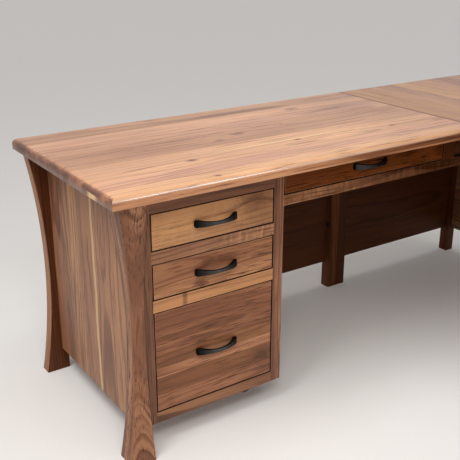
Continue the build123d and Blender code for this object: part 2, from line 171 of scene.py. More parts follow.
def makeBoardFigure(look):
    tree, given, out = newGroup(
        "boardFigure",
        [
            vectorIn, ("Heart", "v", (0, 0, 0.05)), ("Seed", "f", 0.0), ("Tone", "f", 0.4), ("Hue", "f", 0.5),
            ("Contrast", "f", 1.0), ("Curl", "f", 0.0), ("Knot", "f", 0.0), ("Sap", "f", 0.0),
            ("Ring", "f", 0.011), ("Fibre", "f", 240.0), ("Depth", "f", 0.4), ("Run", "f", 2.6),
            ("Shade", "f", 0.0), ("Dark", "c", (0.042, 0.019, 0.011, 1)),
            ("Mid", "c", (0.25, 0.112, 0.056, 1)), ("Light", "c", (0.74, 0.41, 0.21, 1)),
            ("Sapwood", "c", (0.82, 0.55, 0.25, 1)),
        ],
        surfaceOut)
    seedShift = calcVector(tree, "SCALE", look["seedStep"])
    feed(tree, seedShift.node.inputs["Scale"], given["Seed"])
    at = calcVector(tree, "ADD", given["Vector"], seedShift)
    along = split(tree, at)[0]

    # distance from the heart line, bent slowly along the board
    slow = stretch(tree, at, look["slow"])
    slowTwin = calcVector(tree, "ADD", slow, look["slowTwin"])
    offset = split(tree, calcVector(tree, "SUBTRACT", given["Vector"], given["Heart"]))
    acrossY = calc(tree, "ADD", offset[1], wobble(tree, slow, look["bendAcross"]))
    acrossZ = calc(tree, "ADD", offset[2], wobble(tree, slowTwin, look["bendThrough"]))
    radius = calcVector(tree, "LENGTH", join(tree, y=acrossY, z=acrossZ))
    radius = calc(tree, "ADD", radius, wobble(tree, stretch(tree, at, look["ripple"]), look["rippleBend"]))
    radius = calc(tree, "ADD", radius, times(tree, given["Knot"], look["knotBend"]))

    # year rings: a slow rise to a dark late edge, darker in some years
    phase = calc(tree, "DIVIDE", radius, given["Ring"])
    harsh = chance(tree, timesAdd(tree, given["Seed"], look["yearStep"], calc(tree, "FLOOR", phase)))
    turn = calc(tree, "FRACT", phase)
    late, peak = look["lateFrom"], look["latePeak"]
    ringEdge = times(tree, fade(tree, turn, late, peak), fade(tree, turn, peak, 1.0, 1.0, 0.0), harsh)

    # colour zones and dark streaks follow the rings
    def alongRings(scale):
        return join(tree, times(tree, along, scale[0]), times(tree, radius, scale[1]), given["Seed"])

    zone = noise(tree, alongRings(look["zone"]), 1.0, *look["zoneDetail"])
    streak = fade(tree, noise(tree, alongRings(look["streak"])), *look["streakEdge"])
    # fibres: fine streaks along the grain, some of them dark, livelier in places
    fibreAt = join(tree, times(tree, along, given["Run"]), times(tree, acrossY, given["Fibre"]),
                   times(tree, acrossZ, given["Fibre"]))
    fibre = noise(tree, fibreAt, 1.0, *look["fibreDetail"])
    line = fade(tree, fibre, *look["lineEdge"])
    lively = fade(tree, noise(tree, stretch(tree, at, look["lively"]), 1.0, 1.0), *look["livelyEdge"])
    # open pores: short dashes along the grain; curl: soft bars across it
    pore = fade(tree, noise(tree, stretch(tree, at, look["pore"]), 1.0, 1.0), *look["poreEdge"])
    curl = calc(tree, "SUBTRACT", noise(tree, stretch(tree, at, look["curl"])), 0.5)

    grain = timesAdd(tree, line, look["lineTone"], timesAdd(tree, fibre, -1.0, look["fibreMiddle"]))
    grain = calc(tree, "MINIMUM", grain, look["grainMost"])
    change = timesAdd(tree, zone, *look["zoneTone"])
    change = timesAdd(tree, grain, times(tree, lively, given["Depth"]), change)
    change = timesAdd(tree, ringEdge, look["ringTone"], change)
    change = timesAdd(tree, streak, look["streakTone"], change)
    tone = calc(tree, "ADD", given["Tone"], times(tree, change, given["Contrast"]))
    tone = calc(tree, "SUBTRACT", tone, given["Shade"])
    tone = timesAdd(tree, pore, look["poreTone"], tone)
    tone = calc(tree, "ADD", tone, times(tree, curl, given["Curl"]))
    tone = timesAdd(tree, given["Knot"], look["knotTone"], tone)

    # dark to mid over the lower half of the tone, mid to light over the upper half
    wood = mixColor(tree, clamp(tree, times(tree, tone, 2.0)), given["Dark"], given["Mid"])
    wood = mixColor(tree, clamp(tree, timesAdd(tree, tone, 2.0, -1.0)), wood, given["Light"])
    hue = clamp(tree, timesAdd(tree, calc(tree, "SUBTRACT", zone, 0.5), look["hueDrift"], given["Hue"]))
    wood = mixColor(tree, 1.0, wood, mixColor(tree, hue, look["coolTint"], look["warmTint"]), "MULTIPLY")
    sapShade = timesAdd(tree, streak, look["sapStreaks"], timesAdd(tree, pore, look["sapPores"], 1.0))
    wood = mixColor(tree, times(tree, given["Sap"], sapShade), wood, given["Sapwood"])
    feed(tree, out["Color"], wood)
    rough = timesAdd(tree, zone, look["zoneRough"], look["rough"])
    feed(tree, out["Roughness"], timesAdd(tree, pore, look["poreRough"], rough))
    height = times(tree, pore, look["poreHeight"])
    feed(tree, out["Height"], timesAdd(tree, ringEdge, look["ringHeight"], height))
    return tree


# Knot: an oval spot, longer along the grain, with a ragged rim
knotLook = {"stretch": (0.5, 1.0, 0.35), "ragged": 70.0, "rag": 0.9, "ragLeast": 0.55}


def makeKnotSpot(look):
    tree, given, out = newGroup(
        "knotSpot", [vectorIn, ("Centre", "v", (0, 0, 0)), ("Size", "f", 0.015)], [("Mask", "f")])
    away = calcVector(tree, "SUBTRACT", given["Vector"], given["Centre"])
    away = stretch(tree, away, look["stretch"])
    ragged = timesAdd(tree, noise(tree, given["Vector"], look["ragged"]), look["rag"], look["ragLeast"])
    distance = calc(tree, "DIVIDE", calcVector(tree, "LENGTH", away), given["Size"])
    feed(tree, out["Mask"], fade(tree, times(tree, distance, ragged), 0.0, 1.0, 1.0, 0.0))
    return tree


# Band along the grain, below a level, that wanders and fades at both ends. It marks pale sapwood and dark
# marks in the wood, and places painted shade and painted highlight
bandLook = {"wander": 6.0, "ragged": (4.0, 160.0, 160.0), "rag": 0.9, "ragLeast": 0.55, "core": 0.25,
            "levelFade": 0.004}


def makeGrainBand(look):
    tree, given, out = newGroup(
        "grainBand",
        [vectorIn, ("Centre", "f", 0.0), ("HalfWidth", "f", 0.01), ("Start", "f", 0.0), ("End", "f", 1.0),
         ("Fade", "f", 0.12), ("Wander", "f", 0.006), ("Level", "f", 9.0)],
        [("Mask", "f")])
    part = split(tree, given["Vector"])
    path = noise(tree, join(tree, times(tree, part[0], look["wander"])))
    wander = times(tree, calc(tree, "SUBTRACT", path, 0.5), given["Wander"])
    gap = calc(tree, "SUBTRACT", calc(tree, "SUBTRACT", part[1], given["Centre"]), wander)
    gap = calc(tree, "DIVIDE", calc(tree, "ABSOLUTE", gap), given["HalfWidth"])
    ragged = noise(tree, stretch(tree, given["Vector"], look["ragged"]))
    ragged = timesAdd(tree, ragged, look["rag"], look["ragLeast"])
    core = fade(tree, times(tree, gap, ragged), look["core"], 1.0, 1.0, 0.0)
    rise = fade(tree, part[0], given["Start"], calc(tree, "ADD", given["Start"], given["Fade"]))
    fall = fade(tree, part[0], calc(tree, "SUBTRACT", given["End"], given["Fade"]), given["End"], 1.0, 0.0)
    below = calc(tree, "SUBTRACT", given["Level"], look["levelFade"])
    under = fade(tree, part[2], below, given["Level"], 1.0, 0.0)
    feed(tree, out["Mask"], times(tree, core, times(tree, rise, fall), under))
    return tree


# Heart line of a board: under its middle, shifted a little to one side, at a depth of its own
heartLook = {"sideways": 0.09, "deepest": 0.10, "depthRange": 0.07}


def makeHeartLine(look):
    tree, given, out = newGroup(
        "heartLine",
        [("Share", "f", 0.5), ("Seed", "f", 0.0), ("Start", "f", 0.0), ("Total", "f", 1.0),
         ("Face", "f", 0.0)],
        [("Heart", "v")])
    middle = timesAdd(tree, given["Share"], given["Total"], given["Start"])
    shift = timesAdd(tree, chance(tree, given["Seed"]), look["sideways"], -look["sideways"] / 2)
    across = calc(tree, "ADD", middle, shift)
    deepest = calc(tree, "SUBTRACT", given["Face"], look["deepest"])
    depth = timesAdd(tree, given["Seed"], look["depthRange"], deepest)
    feed(tree, out["Heart"], join(tree, y=across, z=depth))
    return tree


# The wood groups below take the place and the normal in the board's own order: along, across, through.
# End grain drinks more finish and is darker, but not in sapwood. Below a level it is painted pale: a painted
# reflection on the lower part of the end.
endLook = {"facing": (0.35, 0.92), "blotch": (2.0, 15.0, 15.0), "blotchDetail": (4.0, 0.6),
           "blotchEdge": (0.40, 0.60), "sheenFade": 0.003, "sheenBlotch": 0.35, "sheenLeast": 0.3}


def makeEndGrain(look):
    tree, given, out = newGroup(
        "endGrain",
        [colorIn, vectorIn, facingIn, ("Sap", "f", 0.0), ("PaintedSheenBelow", "f", -9.0),
         ("Deep", "c", (0.25, 0.17, 0.16, 1)), ("Soft", "c", (0.58, 0.47, 0.42, 1)),
         ("PaintedSheen", "c", (0.24, 0.18, 0.15, 1))],
        [("Color", "c")])
    end = fade(tree, calc(tree, "ABSOLUTE", split(tree, given["Facing"])[0]), *look["facing"])
    end = times(tree, end, calc(tree, "SUBTRACT", 1.0, given["Sap"]))
    blotch = noise(tree, stretch(tree, given["Vector"], look["blotch"]), 1.0, *look["blotchDetail"])
    blotch = fade(tree, blotch, *look["blotchEdge"])
    tint = mixColor(tree, blotch, given["Deep"], given["Soft"])
    color = mixColor(tree, end, given["Color"], tint, "MULTIPLY")
    height = calc(tree, "SUBTRACT", split(tree, given["Vector"])[2], given["PaintedSheenBelow"])
    low = fade(tree, height, -look["sheenFade"], look["sheenFade"], 1.0, 0.0)
    paintedSheen = times(tree, low, end, timesAdd(tree, blotch, look["sheenBlotch"], look["sheenLeast"]))
    feed(tree, out["Color"], mixColor(tree, paintedSheen, color, given["PaintedSheen"]))
    return tree


# Narrow sides take a tint: Side is 0 for all of them, -1 for the low and 1 for the high side across
# On the drawer fronts and the frame the tint is painted shade, dark in the gaps between parts; on the main
# top's front edge it is redder
sideShadeLook = {"narrow": (0.1, 0.4)}


def makeSideShadeTint(look):
    tree, given, out = newGroup(
        "sideShadeTint", [colorIn, facingIn, ("Side", "f", 0.0), ("Tint", "c", (0.05, 0.04, 0.04, 1))],
        [("Color", "c")])
    facing = split(tree, given["Facing"])
    narrow = fade(tree, calc(tree, "ABSOLUTE", facing[2]), *look["narrow"], 1.0, 0.0)
    chosen = calc(tree, "GREATER_THAN", times(tree, facing[1], given["Side"]), 0.0)
    every = calc(tree, "LESS_THAN", calc(tree, "ABSOLUTE", given["Side"]), 0.5)
    mask = times(tree, narrow, calc(tree, "MAXIMUM", chosen, every))
    feed(tree, out["Color"], mixColor(tree, mask, given["Color"], given["Tint"], "MULTIPLY"))
    return tree


# Painted highlight: the eased edges are lighter here and there
edgeHighlightLook = {"rim": (0.40, 0.60), "flat": (0.93, 0.99), "patch": 30.0, "patchEdge": (0.35, 0.60, 0.2, 1.0)}


def makeEdgeHighlight(look):
    tree, given, out = newGroup(
        "edgeHighlight",
        [colorIn, vectorIn, facingIn, ("Amount", "f", 0.0), ("Highlight", "c", (0.78, 0.56, 0.38, 1))],
        [("Color", "c")])
    flat = calc(tree, "ABSOLUTE", split(tree, given["Facing"])[2])
    rim = times(tree, fade(tree, flat, *look["rim"]), fade(tree, flat, *look["flat"], 1.0, 0.0))
    highlit = fade(tree, noise(tree, given["Vector"], look["patch"]), *look["patchEdge"])
    mask = times(tree, rim, highlit, given["Amount"])
    feed(tree, out["Color"], mixColor(tree, mask, given["Color"], given["Highlight"]))
    return tree


# Painted shade: a deeper brown on every side but the one that faces up the through axis
shadedSidesLook = {"facing": (0.3, 0.7)}


def makeShadedSides(look):
    tree, given, out = newGroup(
        "shadedSides", [colorIn, facingIn, ("Tint", "c", (0.5, 0.34, 0.2, 1))], [("Color", "c")])
    away = fade(tree, split(tree, given["Facing"])[2], *look["facing"], 1.0, 0.0)
    feed(tree, out["Color"], mixColor(tree, away, given["Color"], given["Tint"], "MULTIPLY"))
    return tree


# The tops are darker along the groove between them, which runs along Y from a start
seamLook = {"reach": (0.0034, 0.0064)}  # from the seam: where the darkening starts and ends to fade


def makeSeamDark(look):
    tree, given, out = newGroup(
        "seamDark",
        [colorIn, vectorIn, ("Seam", "f", 0.0), ("Start", "f", 0.0), ("SeamColor", "c", (0.14, 0.032, 0.012, 1))],
        [("Color", "c")])
    part = split(tree, given["Vector"])
    away = calc(tree, "ABSOLUTE", calc(tree, "SUBTRACT", part[0], given["Seam"]))
    groove = times(tree, fade(tree, away, *look["reach"], 1.0, 0.0),
                   calc(tree, "GREATER_THAN", part[1], given["Start"]))
    feed(tree, out["Color"], mixColor(tree, groove, given["Color"], given["SeamColor"]))
    return tree


# Gloss: the rounded long edges are rubbed to a gloss, which falls to Least from Start to End along the grain
glossLook = {"rise": (0.10, 0.22), "fall": (0.46, 0.66), "ends": (0.04, 0.20)}


def makeGlossBand(look):
    tree, given, out = newGroup(
        "glossBand",
        [vectorIn, facingIn, ("Start", "f", 0.0), ("End", "f", 1.0), ("Least", "f", 0.0)], [("Coat", "f")])
    facing = split(tree, given["Facing"])
    rim = times(tree, fade(tree, facing[2], *look["rise"]), fade(tree, facing[2], *look["fall"], 1.0, 0.0))
    rim = times(tree, rim, fade(tree, calc(tree, "ABSOLUTE", facing[0]), *look["ends"], 1.0, 0.0))
    along = split(tree, given["Vector"])[0]
    highlit = fade(tree, along, given["Start"], given["End"], 1.0, given["Least"])
    feed(tree, out["Coat"], times(tree, rim, highlit))
    return tree


# Black paint with a fine grain; a painted highlight greys the front of the bow, most at one place along it
paintLook = {"patch": 60.0, "grain": 1800.0, "front": (-0.95, -0.45), "highlightLeast": 0.05, "highlightPatch": 0.4,
             "rough": 0.20, "patchRough": 0.12, "shine": 0.04, "bump": (0.15, 0.0002)}


def makeHighlitPaint(look):
    tree, given, out = newGroup(
        "highlitPaint",
        [vectorIn, facingIn, ("Middle", "f", 0.0), ("HalfLength", "f", 0.062),
         ("Deep", "c", (0.003, 0.003, 0.003, 1)), ("Soft", "c", (0.007, 0.0065, 0.006, 1)),
         ("PaintedHighlight", "c", (0.082, 0.080, 0.078, 1))],
        surfaceOut)
    patch = noise(tree, given["Vector"], look["patch"], 3.0)
    color = mixColor(tree, patch, given["Deep"], given["Soft"])
    along = split(tree, given["Vector"])[0]
    front = split(tree, given["Facing"])[1]
    away = calc(tree, "ABSOLUTE", calc(tree, "SUBTRACT", along, given["Middle"]))
    highlit = times(tree, fade(tree, away, 0.0, given["HalfLength"], 1.0, look["highlightLeast"]),
                   fade(tree, front, *look["front"], 1.0, 0.0), timesAdd(tree, patch, 1.0, look["highlightPatch"]))
    feed(tree, out["Color"], mixColor(tree, highlit, color, given["PaintedHighlight"]))
    feed(tree, out["Roughness"], timesAdd(tree, patch, look["patchRough"], look["rough"]))
    feed(tree, out["Height"], noise(tree, given["Vector"], look["grain"]))
    return tree


# Zinc: fine drawn lines along Y over a soft cloud
zincLook = {"lines": (900.0, 6.0, 900.0), "cloud": 45.0, "lineShade": 0.25, "cloudShade": 0.35,
            "shadeLeast": 0.2, "rough": 0.24, "cloudRough": 0.2, "bump": (0.12, 0.0002)}


def makeDrawnZinc(look):
    tree, given, out = newGroup(
        "drawnZinc", [vectorIn, ("Tint", "c", (0.66, 0.66, 0.64, 1)), ("Deep", "c", (0.7, 0.7, 0.7, 1))],
        surfaceOut)
    lines = noise(tree, stretch(tree, given["Vector"], look["lines"]))
    cloud = noise(tree, given["Vector"], look["cloud"], 3.0)
    shade = timesAdd(tree, cloud, look["cloudShade"], look["shadeLeast"])
    shade = timesAdd(tree, lines, look["lineShade"], shade)
    dark = mixColor(tree, 1.0, given["Tint"], given["Deep"], "MULTIPLY")
    feed(tree, out["Color"], mixColor(tree, shade, dark, given["Tint"]))
    feed(tree, out["Roughness"], timesAdd(tree, cloud, look["cloudRough"], look["rough"]))
    feed(tree, out["Height"], lines)
    return tree


boardFigure, knotSpot = makeBoardFigure(figureLook), makeKnotSpot(knotLook)
grainBand, heartLine = makeGrainBand(bandLook), makeHeartLine(heartLook)
endGrain, sideShadeTint = makeEndGrain(endLook), makeSideShadeTint(sideShadeLook)
edgeHighlight, shadedSides = makeEdgeHighlight(edgeHighlightLook), makeShadedSides(shadedSidesLook)
seamDark, glossBand = makeSeamDark(seamLook), makeGlossBand(glossLook)
highlitPaint, drawnZinc = makeHighlitPaint(paintLook), makeDrawnZinc(zincLook)
print("shader groups made")


def newMaterial(name):
    material = bpy.data.materials.new(name)
    material.use_nodes = True
    return material, material.node_tree, material.node_tree.nodes["Principled BSDF"].inputs


def addBump(tree, inputs, height, strength, distance):
    bump = put(tree, "Bump", {"Strength": strength, "Distance": distance, "Height": height})
    feed(tree, inputs["Normal"], bump.outputs[0])


axisOf = {"x": 0, "y": 1, "z": 2}
sideOf = {"all": 0.0, "low": -1.0, "high": 1.0}
woodLook = {"firstSeed": 0.37, "seedStep": 0.618, "bump": (0.25, 0.0004),
            "coat": {"Coat Roughness": 0.12, "Coat IOR": 2.4}}


# axes: along, across and through, such as "xyz"; boards: (width, tone, hue) from the low side across
def walnut(name, axes, boards, start, contrast=1.0, curl=0.0, knots=(), saps=(), ring=0.011, colors=None,
           seed=0.0, middle=0.0, shine=0.28, gloss=None, tinted="", tint=(0.05, 0.04, 0.04, 1), highlightEdges=0.0,
           seamAt=None, fibre=240.0, depth=0.4, run=2.6, shades=(), paintedSheenBelow=-9.0, recessShade=None):
    material, tree, inputs = newMaterial(name)
    coords = put(tree, "TexCoord").outputs
    part, normal = split(tree, coords["Object"]), split(tree, coords["Normal"])
    order = [axisOf[a] for a in axes]
    local = join(tree, *[part[k] for k in order])
    facing = join(tree, *[normal[k] for k in order])

    # one ramp stop for each board: tone, hue, its middle, and a seed
    total = sum(b[0] for b in boards)
    share = put(tree, "MapRange", {0: part[order[1]], 1: start, 2: start + total}).outputs[0]
    ramp = put(tree, "ValToRGB", {0: share})
    ramp.color_ramp.interpolation = "CONSTANT"
    stops = ramp.color_ramp.elements
    stops.remove(stops[1])
    edge = 0.0
    for i, (width, tone, hue) in enumerate(boards):
        stop = stops[0] if i == 0 else stops.new(edge / total)
        stop.position = edge / total
        boardSeed = (woodLook["firstSeed"] + woodLook["seedStep"] * (i + 1) + seed) % 1.0
        stop.color = (tone, hue, (edge + width / 2) / total, boardSeed)
        edge += width
    board = put(tree, "SeparateColor", {0: ramp.outputs["Color"]}).outputs
    seedHere = ramp.outputs["Alpha"]
    heart = useGroup(tree, heartLine, {
        "Share": board[2], "Seed": seedHere, "Start": start, "Total": total, "Face": middle})["Heart"]

    def knotted(centre, size, strength):
        mask = useGroup(tree, knotSpot, {"Vector": local, "Centre": centre, "Size": size})["Mask"]
        return times(tree, strength, mask)

    def banded(feeds):
        return useGroup(tree, grainBand, dict(feeds, Vector=local))["Mask"]

    def strongest(masks):
        best = 0.0
        for mask in masks:
            best = mask if best == 0.0 else calc(tree, "MAXIMUM", best, mask)
        return best

    knotMask = strongest([knotted(*knot) for knot in knots])
    sapMask = strongest([banded(feeds) for feeds in saps])
    # shade: dark marks in the wood, and painted shade; a negative strength is a painted highlight
    shade = 0.0
    for strength, feeds in shades:
        shade = timesAdd(tree, banded(feeds), strength, shade)
    if isinstance(curl, tuple):  # amounts at two places along the grain
        curl = fade(tree, part[order[0]], curl[2], curl[3], curl[0], curl[1])
    figure = useGroup(tree, boardFigure, dict({
        "Vector": local, "Heart": heart, "Seed": seedHere, "Tone": board[0], "Hue": board[1],
        "Contrast": contrast, "Curl": curl, "Knot": knotMask, "Sap": sapMask, "Ring": ring, "Fibre": fibre,
        "Depth": depth, "Run": run, "Shade": shade}, **(colors or {})))

    color = useGroup(tree, endGrain, {
        "Color": figure["Color"], "Vector": local, "Facing": facing, "Sap": sapMask,
        "PaintedSheenBelow": paintedSheenBelow})["Color"]
    # narrow sides: painted shade in the gaps for fronts and frame, a redder front edge for the main top
    if tinted:
        color = useGroup(tree, sideShadeTint, {
            "Color": color, "Facing": facing, "Side": sideOf[tinted], "Tint": tint})["Color"]
    if highlightEdges > 0.0:
        color = useGroup(tree, edgeHighlight, {
            "Color": color, "Vector": local, "Facing": facing, "Amount": highlightEdges})["Color"]
    if recessShade is not None:
        color = useGroup(tree, shadedSides, {"Color": color, "Facing": facing, "Tint": recessShade})["Color"]
    if seamAt is not None:
        color = useGroup(tree, seamDark, {
            "Color": color, "Vector": coords["Object"], "Seam": seamAt[0], "Start": seamAt[1]})["Color"]
    feed(tree, inputs["Base Color"], color)
    feed(tree, inputs["Roughness"], figure["Roughness"])
    inputs["Specular IOR Level"].default_value = shine
    if gloss is not None:
        coat = useGroup(tree, glossBand, {
            "Vector": local, "Facing": facing, "Start": gloss[0], "End": gloss[1], "Least": gloss[2]})["Coat"]
        feed(tree, inputs["Coat Weight"], coat)
        for key, value in woodLook["coat"].items():
            inputs[key].default_value = value
    addBump(tree, inputs, figure["Height"], *woodLook["bump"])
    return material


def spot(x, y, z, size, strength=1.0):
    return ((x, y, z), size, strength)


def band(centre, halfWidth, start, end, **more):
    return dict({"Centre": centre, "HalfWidth": halfWidth, "Start": start, "End": end}, **more)


def boardStart(boards, low, high):  # a single board is wider than its piece and lies over the middle
    return low if len(boards) > 1 else (low + high - boards[0][0]) / 2


def blackPaint(name, middle):
    material, tree, inputs = newMaterial(name)
    coords = put(tree, "TexCoord").outputs
    paint = useGroup(tree, highlitPaint, {
        "Vector": coords["Object"], "Facing": coords["Normal"], "Middle": middle})
    feed(tree, inputs["Base Color"], paint["Color"])
    feed(tree, inputs["Roughness"], paint["Roughness"])
    inputs["Specular IOR Level"].default_value = paintLook["shine"]
    addBump(tree, inputs, paint["Height"], *paintLook["bump"])
    return material


def zincSteel(name, tint):
    material, tree, inputs = newMaterial(name)
    zinc = useGroup(tree, drawnZinc, {"Vector": put(tree, "TexCoord").outputs["Object"], "Tint": tint + (1,)})
    feed(tree, inputs["Base Color"], zinc["Color"])
    feed(tree, inputs["Roughness"], zinc["Roughness"])
    inputs["Metallic"].default_value = 1.0
    addBump(tree, inputs, zinc["Height"], *zincLook["bump"])
    return material


def dress(node, material):
    nodes[node].data.materials.clear()
    nodes[node].data.materials.append(material)


def meshPiece(name, points, faces, material, body, replaced, sharpAngle=35.0, weld=1e-6):
    mesh = bpy.data.meshes.new(name)
    mesh.from_pydata(points.reshape(-1, 3).tolist(), [], faces)
    work = bmesh.new()
    work.from_mesh(mesh)
    bmesh.ops.remove_doubles(work, verts=work.verts, dist=weld)
    bmesh.ops.recalc_face_normals(work, faces=work.faces)
    work.to_mesh(mesh)
    work.free()
    mesh.shade_smooth()
    mesh.set_sharp_from_angle(angle=radians(sharpAngle))
    mesh.materials.append(material)
    piece = bpy.data.objects.new(name, mesh)
    bpy.context.scene.collection.objects.link(piece)
    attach(piece, body)
    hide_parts(*replaced)


def ringFaces(rings, count):
    # quads between neighbouring rings, and one cap at each end
    i, j = np.meshgrid(np.arange(rings - 1), np.arange(count), indexing="ij")
    low, high = i * count, (i + 1) * count
    k = (j + 1) % count
    quads = np.stack([low + j, low + k, high + k, high + j], -1).reshape(-1, 4)
    first = list(range(count))[::-1]
    last = list(range((rings - 1) * count, rings * count))
    return quads.tolist() + [first, last]


def edgeInset(depth, radius):
    # how far a quarter round of this radius draws the side in, at a depth below the face
    short = np.clip(radius - depth, 0.0, None)
    return radius - np.sqrt(np.clip(radius * radius - short * short, 0.0, None))


# Eased slab: rectangles stacked through the thickness. Each side of a rectangle is drawn in by its own
# quarter round near the upper face and near the lower face. Sides run low u, high u, low v, high v.
def easedSlab(lo, hi, upper, lower, steps=9, order=(0, 1, 2), step=None):
    lo, hi = np.array(lo), np.array(hi)
    u, v, w = order
    thick = hi[w] - lo[w]
    angle = np.linspace(0.0, np.pi / 2, steps)

    def roundLevels(rounds):
        return np.unique(np.concatenate([r * (1 - np.cos(angle)) for r in rounds if r > 0] + [[0.0]]))

    depths = roundLevels(set(upper) | ({step[1]} if step else set()))
    level = np.concatenate([roundLevels(set(lower)), (thick - depths)[::-1]])
    inset = np.stack([
        edgeInset(thick - level, up) + edgeInset(level, low) for up, low in zip(upper, lower)], -1)
    u0, u1 = lo[u] + inset[:, 0], hi[u] - inset[:, 1]
    v0, v1 = lo[v] + inset[:, 2], hi[v] - inset[:, 3]
    corners = [(u0, v0), (u1, v0), (u1, v1)]
    if step is None:
        corners += [(u0, v1)]
    else:  # beyond this place along v, the low u side has a small ease of its own
        square, at = lo[u] + edgeInset(thick - level, step[1]), np.full_like(u0, step[0])
        corners += [(square, v1), (square, at), (u0, at)]
    ring = np.stack([np.stack(p, -1) for p in corners], 1)
    points = np.zeros(ring.shape[:2] + (3,))
    points[..., u], points[..., v] = ring[..., 0], ring[..., 1]
    points[..., w] = (lo[w] + level)[:, None]
    return points, ringFaces(*ring.shape[:2])


# Hollow arc: the circle through three heights and their offsets, read at each height z
def hollowArc(z, heights, offsets):
    (z0, z1, z2), (s0, s1, s2) = heights, offsets
    left = np.array([[2 * (z1 - z0), 2 * (s1 - s0)], [2 * (z2 - z1), 2 * (s2 - s1)]])
    right = np.array([z1 * z1 - z0 * z0 + s1 * s1 - s0 * s0, z2 * z2 - z1 * z1 + s2 * s2 - s1 * s1])
    cz, cs = np.linalg.solve(left, right)
    radius = np.hypot(z0 - cz, s0 - cs)
    return cs + np.sign(s1 - cs) * np.sqrt(radius * radius - (z - cz) ** 2)


# Upright: a rectangle with round corners carried up from the floor; each side may change with the height
def upright(z, x0, x1, y0, y1, radius, corner=6):
    one = np.ones_like(z)
    x0, x1, y0, y1 = x0 * one + radius, x1 * one - radius, y0 * one + radius, y1 * one - radius
    turn = np.linspace(0.0, np.pi / 2, corner)
    ring = []
    for quarter, (cx, cy) in enumerate(((x1, y1), (x0, y1), (x0, y0), (x1, y0))):
        a = turn + quarter * np.pi / 2
        ring.append(np.stack([cx[:, None] + radius * np.cos(a), cy[:, None] + radius * np.sin(a)], -1))
    ring = np.concatenate(ring, 1)
    points = np.concatenate([ring, np.broadcast_to(z[:, None, None], ring.shape[:2] + (1,))], -1)
    return points, ringFaces(*ring.shape[:2])


# Bow pull: seen from above a band between two arcs, seen from the front slim at the waist. At each x the
# section is a rectangle with round corners. Both views are drawn in by a quarter round at the feet's ends.
def bowPull(lo, hi, look):
    half = (hi[0] - lo[0]) / 2
    middle = (lo[0] + hi[0]) / 2
    rise = hi[1] - lo[1]
    seat = half - look["footLength"]
    s = np.sin(np.linspace(-1, 1, look["stations"]) * np.pi / 2) * half
    s = np.unique(np.concatenate([s, [-seat, seat]]))

    def arc(x, span, height):
        radius = (span * span + height * height) / (2 * height)
        return np.clip(height - radius + np.sqrt(np.clip(radius * radius - x * x, 0, None)), 0, None)

    ends = edgeInset(half - np.abs(s), look["footRound"])
    outer = look["footRise"] + arc(s, half, rise - look["footRise"]) - ends
    inner = np.where(np.abs(s) < seat, arc(s, seat, rise - look["thickness"]), 0.0)
    footHalf, waistHalf = look["footHeight"] / 2, look["waistHeight"] / 2
    tall = footHalf - arc(s, half, footHalf - waistHalf) - ends
    deep = (outer - inner) / 2
    radius = np.minimum(look["corner"], np.minimum(deep, tall) * look["cornerMost"])
    turn = np.linspace(0.0, np.pi / 2, look["cornerPoints"])
    ring = []
    for quarter, (sy, sz) in enumerate(((1, 1), (-1, 1), (-1, -1), (1, -1))):
        a = turn + quarter * np.pi / 2
        y = (sy * (deep - radius))[:, None] + radius[:, None] * np.cos(a)
        z = (sz * (tall - radius))[:, None] + radius[:, None] * np.sin(a)
        ring.append(np.stack([y, z], -1))
    ring = np.concatenate(ring, 1)
    points = np.zeros(ring.shape[:2] + (3,))
    points[..., 0] = middle + s[:, None]
    points[..., 1] = hi[1] - (outer + inner)[:, None] / 2 - ring[..., 0]
    points[..., 2] = (lo[2] + hi[2]) / 2 + ring[..., 1]
    return points, ringFaces(*ring.shape[:2])


